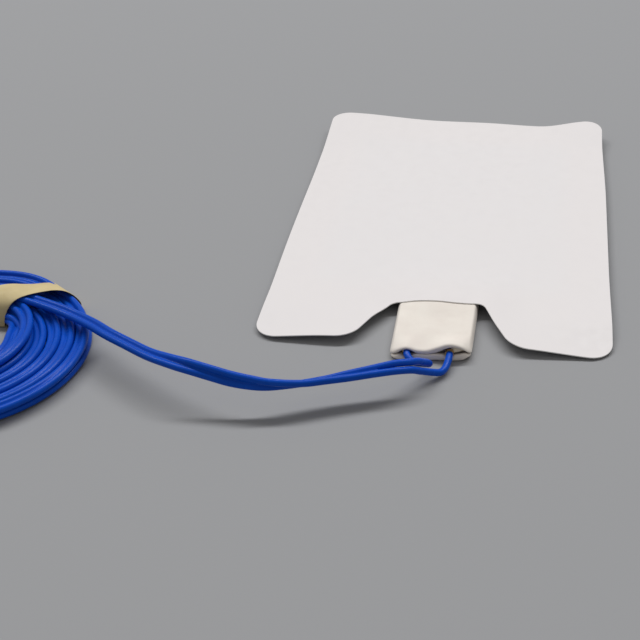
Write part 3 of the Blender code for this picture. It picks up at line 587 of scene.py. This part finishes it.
def tape_mesh():
    """The band as a sheet between its two edges."""
    near = tape_edge(TAPE_NEAR)
    far = tape_edge(TAPE_FAR)
    turn = Matrix.Rotation(TAPE_AZIMUTH, 3, "Z")
    lowest = TAPE_NEAR[0][1] / MM_PER_METRE
    work = bmesh.new()
    columns = []
    for column in range(TAPE_COLUMNS + 1):
        share = column / TAPE_COLUMNS
        ring = []
        for start, end in zip(near, far):
            along, height = start.lerp(end, share)
            side = tape_side(TAPE_NEAR_SIDE, along) * (1 - share) + tape_side(TAPE_FAR_SIDE, along) * share
            spot = MOUTH + COIL_CENTRE + turn @ Vector((along, side, max(height, lowest)))
            ring.append(work.verts.new(spot))
        columns.append(ring)
    for left, right in zip(columns, columns[1:]):
        for index in range(len(near)):
            work.faces.new((left[index - 1], left[index], right[index], right[index - 1]))
    bmesh.ops.recalc_face_normals(work, faces=work.faces)
    return mesh_from(work, "paper_tape")


def build_tape(material):
    """A paper band that closes round the coil and arches over the lead that comes in on top."""
    tape = add_piece("paper_tape", tape_mesh(), "tape", material)
    thicken(tape, TAPE_THICKNESS)
    subdivide_once(tape)
    shade_smooth(tape.data, TAPE_SHARP)
    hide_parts("coil_tape")
    return tape


def notch_rise(x, y):
    """The liner's lift round its notch, where the sleeve holds it up."""
    height = RISE_HEIGHT + RISE_LEAN * x
    beside = ease((NOTCH_BASE_HALF + RISE_BESIDE_NOTCH - abs(x)) / RISE_SPAN)
    behind = ease((NOTCH_TOP_Y + RISE_BEHIND_NOTCH - y) / RISE_SPAN)
    return height * beside * behind


def liner_pull(x, y):
    """How far the liner is shifted at a place."""
    shift = Vector((0.0, 0.0, 0.0))
    for (place_x, place_y), reach, most in LINER_PULLS:
        off_x = x - PAD_MIDDLE.x - place_x / MM_PER_METRE
        off_y = y - PAD_MIDDLE.y - place_y / MM_PER_METRE
        share = edge_weight(math.hypot(off_x, off_y), reach / MM_PER_METRE)
        shift += Vector(most) / MM_PER_METRE * share
    return shift


def liner_height(x, y):
    """Underside of the liner: flat over the gel, curled at its far corners, drooping at the near ones."""
    from_left, from_right = x - liner_low.x, liner_high.x - x
    from_near, from_far = y - liner_low.y, liner_high.y - y
    height = LINER_BOTTOM + notch_rise(x, y)
    for curl, from_side in ((CURL_FAR_LEFT, from_left), (CURL_FAR_RIGHT, from_right)):
        lift, crest, reach_along, reach_in = curl
        height += lift * hump(from_side - crest, reach_along) * edge_weight(from_far, reach_in)
    for droop, from_side in ((DROOP_NEAR_LEFT, from_left), (DROOP_NEAR_RIGHT, from_right)):
        depth, reach_along, reach_in = droop
        height -= depth * edge_weight(from_side, reach_along) * edge_weight(from_near, reach_in)
    wave = noise.noise(Vector((x, y, 0.0)) * LINER_WAVE_SCALE)
    return height + liner_pull(x, y).z + LINER_WAVE * (1.0 + wave)


def notched_corners(low, high, inset, corner, notch_fillet, base_fillet):
    """Sides and notch of a layer, as two runs of corners that go round anticlockwise."""
    middle = (low.x + high.x) / 2
    slope = (NOTCH_BASE_HALF - NOTCH_TOP_HALF) / NOTCH_DEPTH
    sideways = inset * (math.hypot(1.0, slope) - slope)
    base_half = NOTCH_BASE_HALF + sideways
    top_half = NOTCH_TOP_HALF + sideways
    top = NOTCH_TOP_Y + inset
    sides = [
        (middle + base_half, low.y, base_fillet),
        (high.x, low.y, corner),
        (high.x, high.y, corner),
        (low.x, high.y, corner),
        (low.x, low.y, corner),
        (middle - base_half, low.y, base_fillet),
    ]
    notch = [(middle - top_half, top, notch_fillet), (middle + top_half, top, notch_fillet)]
    return sides, notch


def cut_into_cells(work, cell):
    """Cut a flat face into cells of about the given size."""
    for axis in (0, 1):
        low = min(vert.co[axis] for vert in work.verts)
        high = max(vert.co[axis] for vert in work.verts)
        normal = Vector((0.0, 0.0, 0.0))
        normal[axis] = 1.0
        count = round((high - low) / cell)
        for step in range(1, count):
            everything = work.verts[:] + work.edges[:] + work.faces[:]
            place = normal * (low + (high - low) * step / count)
            bmesh.ops.bisect_plane(work, geom=everything, plane_co=place, plane_no=normal)


def thick_sheet(work, thickness):
    """Give an open sheet its thickness, with crisp edges and the second material round its rim."""
    grown = bmesh.ops.extrude_face_region(work, geom=work.faces[:])
    upper = {item for item in grown["geom"] if isinstance(item, bmesh.types.BMVert)}
    for vert in upper:
        vert.co.z += thickness
    for face in work.faces:
        count = sum(vert in upper for vert in face.verts)
        face.material_index = int(0 < count < len(face.verts))
    for edge in work.edges:
        edge.smooth = len({face.material_index for face in edge.link_faces}) == 1
    bmesh.ops.recalc_face_normals(work, faces=work.faces)


def build_liner(paper, edge_highlight):
    """The release liner: a thin sheet cut to its outline, shaped as it lies, with its cut edge painted
    pale as a painted highlight.
    """
    sides, notch = notched_corners(liner_low, liner_high, 0.0, LINER_CORNER, NOTCH_TOP_FILLET,
                                   NOTCH_BASE_FILLET)
    outline = rounded_outline(sides + notch, LINER_CORNER_STEPS)
    work = bmesh.new()
    sheet = work.faces.new([work.verts.new((spot.x, spot.y, 0.0)) for spot in outline])
    area = sheet.calc_area()
    cut_into_cells(work, LINER_CELL)
    for vert in work.verts:
        height = liner_height(vert.co.x, vert.co.y)
        shift = liner_pull(vert.co.x, vert.co.y)
        vert.co = Vector((vert.co.x + shift.x, vert.co.y + shift.y, height))
    thick_sheet(work, LINER_THICKNESS)
    mesh = mesh_from(work, "liner_sheet")
    shade_smooth(mesh)
    liner = add_piece("liner_sheet", mesh, "liner", paper, edge_highlight)
    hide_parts("release_liner")


def sleeve_front(x):
    """The sleeve's front edge, which is cut a little askew."""
    share = (x - sleeve_low.x) / (sleeve_high.x - sleeve_low.x)
    return sleeve_low.y + SLEEVE_SKEW * share


def build_foam(material):
    """The backing with its notch. Returns how far up the notch ends."""
    inset = foam_low.x - liner_low.x
    low = Vector((foam_low.x, liner_low.y + inset, 0.0))
    sides, notch = notched_corners(low, foam_high, inset, FOAM_CORNER, FOAM_NOTCH_FILLET, FOAM_CORNER)
    outline = rounded_outline(sides + notch, FOAM_CORNER_STEPS)
    work = bmesh.new()
    face = work.faces.new([work.verts.new((spot.x, spot.y, 0.0)) for spot in outline])
    solid = bmesh.ops.extrude_face_region(work, geom=[face])
    for vert in solid["geom"]:
        if isinstance(vert, bmesh.types.BMVert):
            vert.co.z = foam_high.z
    bmesh.ops.recalc_face_normals(work, faces=work.faces)
    foam = add_piece("foam_pad", mesh_from(work, "foam_pad"), "foam", material)
    rounding = foam.modifiers.new("Rounding", "BEVEL")
    rounding.width = FOAM_EDGE
    rounding.segments = FOAM_EDGE_STEPS
    rounding.limit_method = "ANGLE"
    rounding.angle_limit = FOAM_EDGE_ANGLE
    shade_smooth(foam.data, FOAM_SHARP)
    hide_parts("foam_backing")
    return notch[0][1]


def rim_round(distance, radius):
    """From 0 at a rim to 1 at the radius, as a quarter of an ellipse."""
    inside = 1.0 - min(max(distance / radius, 0.0), 1.0)
    return math.sqrt(1.0 - inside * inside)


def layer_spot(row, column, inset, ahead, back):
    """Place of one point of a sleeve layer, and how far it is from the layer's side, front and rim."""
    share = (row / SLEEVE_ROWS) ** SLEEVE_CROWDING
    left = sleeve_low.x - SLEEVE_LEFT_LEAN * share
    right = sleeve_high.x - SLEEVE_RIGHT_LEAN * (1 - share)
    middle, half = (left + right) / 2, (right - left) / 2 - inset
    from_front = share * (back - sleeve_low.y)
    short = max(0.0, SLEEVE_CORNER - from_front)
    narrowing = SLEEVE_CORNER - math.sqrt(SLEEVE_CORNER ** 2 - short ** 2)
    x = middle + (half - narrowing) * math.sin(math.pi / 2 * (2 * column / SLEEVE_COLUMNS - 1))
    y = (sleeve_front(x) - ahead) * (1 - share) + back * share
    from_side = half - abs(x - middle)
    from_rim = min(from_side, from_front)
    if from_side < SLEEVE_CORNER:
        from_rim = min(from_rim, SLEEVE_CORNER - math.hypot(SLEEVE_CORNER - from_side, short))
    return x, y, from_side, from_front, min(from_rim, back - y)


def soft_layer_mesh(name, inset, ahead, back, rim, heights):
    """A closed skin between two heights, soft at its rim."""
    work = bmesh.new()
    upper, lower = [], []
    for row in range(SLEEVE_ROWS + 1):
        upper.append([])
        lower.append([])
        for column in range(SLEEVE_COLUMNS + 1):
            x, y, from_side, from_front, from_rim = layer_spot(row, column, inset, ahead, back)
            top, bottom = heights(x, y, from_side, from_front)
            middle, half = (top + bottom) / 2, (top - bottom) / 2 * rim_round(from_rim, rim)
            at_rim = row in (0, SLEEVE_ROWS) or column in (0, SLEEVE_COLUMNS)
            spot = work.verts.new((x, y, middle if at_rim else middle + half))
            upper[row].append(spot)
            lower[row].append(spot if at_rim else work.verts.new((x, y, middle - half)))
    for row in range(SLEEVE_ROWS):
        for column in range(SLEEVE_COLUMNS):
            for layer in (upper, lower):
                near, far = layer[row], layer[row + 1]
                work.faces.new((near[column], near[column + 1], far[column + 1], far[column]))
    bmesh.ops.recalc_face_normals(work, faces=work.faces)
    return mesh_from(work, name)


def soft_layer(name, inset, ahead, back, rim, heights, material):
    """A layer of the sleeve."""
    mesh = soft_layer_mesh(name, inset, ahead, back, rim, heights)
    shade_smooth(mesh)
    layer = add_piece(name, mesh, "foam", material)
    subdivide_once(layer)
    return layer


def pillow_heights(x, y, from_side, from_front):
    """Top and underside of the sleeve's top layer."""
    open_top, open_under = between_keys(MOUTH_KEYS, x * MM_PER_METRE)[:2]
    tucked = liner_height(x, y) - TUCK_GAP
    crown = PILLOW_TOP + (tucked - PILLOW_TOP) * ease((from_front - TUCK_FROM) / TUCK_SPAN)
    top = SHOULDER_LOW + (crown - SHOULDER_LOW) * rim_round(from_side, SHOULDER_REACH)
    under = SIDE_UNDER + (foam_high.z - SIDE_UNDER) * ease(from_side / SIDE_UNDER_REACH)
    share = edge_weight(from_front, MOUTH_REACH)
    top += (open_top / MM_PER_METRE - top) * share
    under += (open_under / MM_PER_METRE - under) * share
    return top, under


def strip_heights(x, _y, _from_side, from_front):
    """Top and bottom of the strip, which swells and lifts at the mouth."""
    open_top, open_bottom = between_keys(MOUTH_KEYS, x * MM_PER_METRE)[2:]
    share = edge_weight(from_front, STRIP_REACH)
    top = foam_high.z - STRIP_SEAT
    top += (open_top / MM_PER_METRE - top) * share
    return top, STRIP_SEAT + open_bottom / MM_PER_METRE * share


def build_sleeve(notch_end, material):
    """The soft top layer and the strip below it."""
    pillow = soft_layer("sleeve_top", 0.0, 0.0, sleeve_high.y, PILLOW_RIM, pillow_heights, material)
    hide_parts("tab_cover")
    back = notch_end + STRIP_TUCK
    strip = soft_layer("sleeve_strip", STRIP_INSET, STRIP_AHEAD, back, STRIP_RIM, strip_heights, material)
    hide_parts("foam_backing")


def build_ferrules(material):
    """A short brass ring round each wire where it enters the sleeve."""
    for name, spot in zip(("left_ferrule", "right_ferrule"), FERRULE_PLACES):
        work = bmesh.new()
        turn = Matrix.Translation(MOUTH + Vector(spot)) @ Matrix.Rotation(math.pi / 2, 4, "X")
        bmesh.ops.create_cone(work, cap_ends=True, segments=FERRULE_SIDES, radius1=FERRULE_RADIUS,
                              radius2=FERRULE_RADIUS, depth=FERRULE_LENGTH, matrix=turn)
        mesh = mesh_from(work, name)
        shade_smooth(mesh, FERRULE_SHARP)
        add_piece(name, mesh, "brass", material)


def build_film(material):
    """A strip of film that shows in the sleeve's right opening."""
    work = bmesh.new()
    lower, upper = [], []
    for place, low, high in FILM_KEYS:
        x = place / MM_PER_METRE
        front = sleeve_front(x)
        lower.append(work.verts.new((MOUTH.x + x, front + FILM_BEHIND[0], low / MM_PER_METRE)))
        upper.append(work.verts.new((MOUTH.x + x, front + FILM_BEHIND[1], high / MM_PER_METRE)))
    for index in range(len(FILM_KEYS) - 1):
        work.faces.new((lower[index], lower[index + 1], upper[index + 1], upper[index]))
    mesh = mesh_from(work, "mouth_film")
    shade_smooth(mesh)
    film = add_piece("mouth_film", mesh, "foam", material)
    thicken(film, FILM_THICKNESS)


def new_material(name):
    """A new material, with its node tree and its shader."""
    material = bpy.data.materials.new(name)
    material.use_nodes = True
    tree = material.node_tree
    return material, tree, tree.nodes["Principled BSDF"]


def add_places(tree, stretch=EVENLY, spin=0.0):
    """Coordinates of the object itself, turned and stretched for textures that run one way."""
    source = tree.nodes.new("ShaderNodeTexCoord")
    mapping = tree.nodes.new("ShaderNodeMapping")
    mapping.inputs["Scale"].default_value = stretch
    mapping.inputs["Rotation"].default_value = (0.0, 0.0, spin)
    tree.links.new(source.outputs["Object"], mapping.inputs["Vector"])
    return mapping.outputs["Vector"]


def add_noise(tree, places, scale, detail):
    texture = tree.nodes.new("ShaderNodeTexNoise")
    texture.inputs["Scale"].default_value = scale
    texture.inputs["Detail"].default_value = detail
    tree.links.new(places, texture.inputs["Vector"])
    return texture.outputs["Fac"]


def add_cells(tree, places, scale):
    cells = tree.nodes.new("ShaderNodeTexVoronoi")
    cells.inputs["Scale"].default_value = scale
    tree.links.new(places, cells.inputs["Vector"])
    return cells.outputs["Distance"]


def add_range(tree, value, low, high, start=0.3, end=0.7):
    """Spread a texture's middle values over a new range."""
    spread = tree.nodes.new("ShaderNodeMapRange")
    spread.inputs["From Min"].default_value = start
    spread.inputs["From Max"].default_value = end
    spread.inputs["To Min"].default_value = low
    spread.inputs["To Max"].default_value = high
    tree.links.new(value, spread.inputs["Value"])
    return spread.outputs["Result"]


def add_mix(tree, factor, first, second):
    """A blend of two colours, each of them fixed or another node's output."""
    mix = tree.nodes.new("ShaderNodeMix")
    mix.data_type = "RGBA"
    tree.links.new(factor, mix.inputs[MIX_FACTOR])
    for socket, color in ((mix.inputs[MIX_FIRST], first), (mix.inputs[MIX_SECOND], second)):
        if isinstance(color, tuple):
            socket.default_value = (*color, 1.0)
        else:
            tree.links.new(color, socket)
    return mix.outputs[MIX_RESULT]


def add_bump(tree, height, strength, distance, before=None):
    """Relief, on top of another one where that is given."""
    bump = tree.nodes.new("ShaderNodeBump")
    bump.inputs["Strength"].default_value = strength
    bump.inputs["Distance"].default_value = distance
    tree.links.new(height, bump.inputs["Height"])
    if before is not None:
        tree.links.new(before, bump.inputs["Normal"])
    return bump.outputs["Normal"]


def add_math(tree, operation, first, second):
    step = tree.nodes.new("ShaderNodeMath")
    step.operation = operation
    for socket, value in zip(step.inputs, (first, second)):
        if isinstance(value, float):
            socket.default_value = value
        else:
            tree.links.new(value, socket)
    return step.outputs["Value"]


def add_inside(tree, coordinate, low, high, softness):
    """1 between two places along an axis, with soft ends."""
    middle, half = (low + high) / 2, (high - low) / 2
    offset = add_math(tree, "SUBTRACT", coordinate, middle)
    distance = add_math(tree, "ABSOLUTE", offset, 0.0)
    return add_range(tree, distance, 1.0, 0.0, half - softness, half + softness)


def add_tones(tree, places, tones, scale, detail):
    """Colour that drifts between two tones."""
    patches = add_noise(tree, places, scale, detail)
    blend = add_range(tree, patches, 0.0, 1.0)
    return add_mix(tree, blend, *tones)


def add_wear(tree, places, roughness, scale, detail):
    """Roughness that drifts between two values."""
    wear = add_noise(tree, places, scale, detail)
    return add_range(tree, wear, *roughness)


def connect(tree, shader, color, roughness, normal):
    for name, output in (("Base Color", color), ("Roughness", roughness), ("Normal", normal)):
        tree.links.new(output, shader.inputs[name])


def new_finish(name, tones, roughness, metallic=0.0, specular=PLAIN_SPECULAR, mottle=90.0, grain=1200.0,
               relief=0.15, stretch=EVENLY):
    """A finish with mottled colour, uneven roughness and fine relief."""
    material, tree, shader = new_material(name)
    shader.inputs["Metallic"].default_value = metallic
    shader.inputs["Specular IOR Level"].default_value = specular
    places = add_places(tree, stretch)
    color = add_tones(tree, places, tones, scale=mottle, detail=4.0)
    wear = add_wear(tree, places, roughness, scale=mottle * WEAR_FINENESS, detail=3.0)
    grains = add_noise(tree, places, scale=grain, detail=3.0)
    connect(tree, shader, color, wear, add_bump(tree, grains, relief, GRAIN_DEPTH))
    return material


def foam_finish(name, tones):
    """Closed-cell foam: a matt skin with fine cells."""
    material, tree, shader = new_material(name)
    shader.inputs["Specular IOR Level"].default_value = 0.35
    places = add_places(tree)
    color = add_tones(tree, places, tones, scale=160.0, detail=5.0)
    wear = add_wear(tree, places, (0.70, 0.86), scale=400.0, detail=3.0)
    cells = add_cells(tree, places, scale=2300.0)
    skin = add_bump(tree, cells, strength=0.22, distance=0.00006)
    swell = add_noise(tree, places, scale=260.0, detail=2.0)
    relief = add_bump(tree, swell, strength=0.25, distance=0.00025, before=skin)
    connect(tree, shader, color, wear, relief)
    return material


def liner_finish(name, border, field, cloud):
    """Coated paper through which the gel below shows as a faintly greyer field."""
    material, tree, shader = new_material(name)
    shader.inputs["Specular IOR Level"].default_value = 0.4
    places = add_places(tree)
    axes = tree.nodes.new("ShaderNodeSeparateXYZ")
    tree.links.new(places, axes.inputs["Vector"])
    _, far_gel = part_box("gel_right")
    across = add_inside(tree, axes.outputs["X"], gel_low.x, far_gel.x, softness=0.004)
    along = add_inside(tree, axes.outputs["Y"], gel_low.y, gel_high.y, softness=0.005)
    over_gel = add_math(tree, "MULTIPLY", across, along)
    base = add_mix(tree, over_gel, border, field)
    patches = add_noise(tree, places, scale=70.0, detail=6.0)
    clouding = add_range(tree, patches, 0.0, 0.35)
    color = add_mix(tree, clouding, base, cloud)
    wear = add_wear(tree, places, (0.44, 0.58), scale=240.0, detail=4.0)
    fibres = add_noise(tree, places, scale=1500.0, detail=4.0)
    fine = add_bump(tree, fibres, strength=0.10, distance=0.00003)
    cockle = add_noise(tree, places, scale=45.0, detail=1.0)
    relief = add_bump(tree, cockle, strength=0.12, distance=0.0006, before=fine)
    connect(tree, shader, color, wear, relief)
    return material


def tape_finish(name, tones):
    """Crepe paper: fine ridges across the band."""
    material, tree, shader = new_material(name)
    places = add_places(tree, spin=-TAPE_AZIMUTH)
    ridge_places = add_places(tree, stretch=(1.0, 0.10, 1.0), spin=-TAPE_AZIMUTH)
    color = add_tones(tree, places, tones, scale=150.0, detail=5.0)
    wear = add_wear(tree, places, (0.62, 0.80), scale=500.0, detail=3.0)
    ridges = add_noise(tree, ridge_places, scale=1500.0, detail=2.0)
    connect(tree, shader, color, wear, add_bump(tree, ridges, strength=0.35, distance=0.00010))
    return material


def dress_node(name, material):
    """Give a carried-over solid a better finish and smooth shading between its sharp edges."""
    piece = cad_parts[name]
    piece.data.materials.clear()
    piece.data.materials.append(material)
    shade_smooth(piece.data, NODE_SHARP)


def add_camera():
    data = bpy.data.cameras.new("camera")
    data.lens = CAMERA_LENS
    data.sensor_width = SENSOR_WIDTH
    camera = bpy.data.objects.new("camera", data)
    turn = Matrix.Rotation(CAMERA_YAW, 4, "Z")
    turn = turn @ Matrix.Rotation(math.pi / 2 - CAMERA_PITCH, 4, "X")
    turn = turn @ Matrix.Rotation(CAMERA_ROLL, 4, "Z")
    camera.matrix_world = Matrix.Translation(CAMERA_PLACE) @ turn
    bpy.context.scene.collection.objects.link(camera)
    bpy.context.scene.camera = camera


def add_floor():
    material, _, shader = new_material("studio_floor")
    shader.inputs["Base Color"].default_value = (*FLOOR_COLOR, 1.0)
    shader.inputs["Roughness"].default_value = FLOOR_ROUGHNESS
    shader.inputs["Specular IOR Level"].default_value = FLOOR_SPECULAR
    work = bmesh.new()
    bmesh.ops.create_grid(work, x_segments=1, y_segments=1, size=FLOOR_SIZE / 2)
    mesh = mesh_from(work, "studio_floor")
    mesh.materials.append(material)
    floor = bpy.data.objects.new("studio_floor", mesh)
    bpy.context.scene.collection.objects.link(floor)


def add_lights():
    """A long strip above and behind, level with the picture, and an even fill."""
    back = Matrix.Rotation(CAMERA_YAW, 3, "Z") @ Vector((0.0, 1.0, 0.0))
    towards = back * math.cos(LIGHT_ELEVATION) + UP * math.sin(LIGHT_ELEVATION)
    data = bpy.data.lights.new("strip", "AREA")
    data.shape = "RECTANGLE"
    data.size, data.size_y = LIGHT_SIZE
    data.energy = LIGHT_POWER
    strip = bpy.data.objects.new("strip", data)
    across = Matrix.Rotation(CAMERA_YAW, 3, "Z") @ Vector((1.0, 0.0, 0.0))
    turn = Matrix((across, towards.cross(across), towards)).transposed()
    strip.matrix_world = Matrix.Translation(LIGHT_TARGET + towards * LIGHT_DISTANCE) @ turn.to_4x4()
    bpy.context.scene.collection.objects.link(strip)
    world = bpy.data.worlds.new("studio")
    world.use_nodes = True
    background = world.node_tree.nodes["Background"]
    background.inputs["Color"].default_value = (*FILL_COLOR, 1.0)
    background.inputs["Strength"].default_value = FILL_STRENGTH
    bpy.context.scene.world = world
    bpy.context.scene.view_settings.view_transform = "Standard"


def dress_carried_nodes():
    """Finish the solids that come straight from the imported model."""
    foil = new_finish("foil_metal", FOIL_TONES, (0.25, 0.42), metallic=1.0, grain=900.0)
    gel = new_finish("gel_film", GEL_TONES, (0.12, 0.28), grain=300.0)
    brass = new_finish("brass_metal", BRASS_TONES, (0.22, 0.42), metallic=1.0, mottle=400.0)
    copper = new_finish("tinned_copper", COPPER_TONES, (0.28, 0.45), metallic=1.0, grain=2500.0,
                        relief=0.5, stretch=(1.0, 0.1, 1.0))
    shell = new_finish("plug_shell_plastic", SHELL_TONES, (0.34, 0.46), specular=0.25, grain=2600.0,
                       relief=0.25)
    insert = new_finish("plug_insert_plastic", INSERT_TONES, (0.38, 0.52), grain=2600.0, relief=0.25)
    finishes = [
        (foil, ["foil_left", "foil_right"]),
        (gel, ["gel_left", "gel_right"]),
        (brass, ["crimp_left", "crimp_right", "contact_left", "contact_right"]),
        (copper, ["conductor_left", "conductor_right"]),
        (shell, ["plug_housing_lower", "plug_housing_upper"]),
        (insert, ["plug_tongue", "plug_strain_relief"]),
    ]
    for material, names in finishes:
        for name in names:
            dress_node(name, material)


add_camera()
add_floor()
add_lights()
jacket = new_finish("blue_jacket", JACKET_TONES, (0.25, 0.33), specular=0.11, mottle=120.0, grain=1800.0,
                    relief=0.12)
twin_lead, lead_path = build_twin_lead(jacket)
build_wire_start("left_wire", "lead_left", 1.0, LEAD_X[0], LEFT_WIRE_START, jacket)
build_wire_start("right_wire", "lead_right", -1.0, LEAD_X[1], RIGHT_WIRE_START, jacket)
paper_tape = build_tape(tape_finish("crepe_paper", TAPE_TONES))
white_foam = foam_finish("white_foam", FOAM_TONES)
notch_end = build_foam(white_foam)
build_sleeve(notch_end, white_foam)
build_film(new_finish("cream_film", FILM_TONES, (0.35, 0.5)))
build_ferrules(new_finish("brass_ferrule", FERRULE_TONES, (0.25, 0.4), metallic=1.0, mottle=400.0))
paper = liner_finish("coated_paper", LINER_BORDER, LINER_FIELD, LINER_CLOUD)
# Cut edge painted far paler than the paper: a painted highlight along the liner's rim
edge_highlight = new_finish("paper_edge_highlight", EDGE_HIGHLIGHT_TONES, (0.60, 0.75))
build_liner(paper, edge_highlight)
dress_carried_nodes()
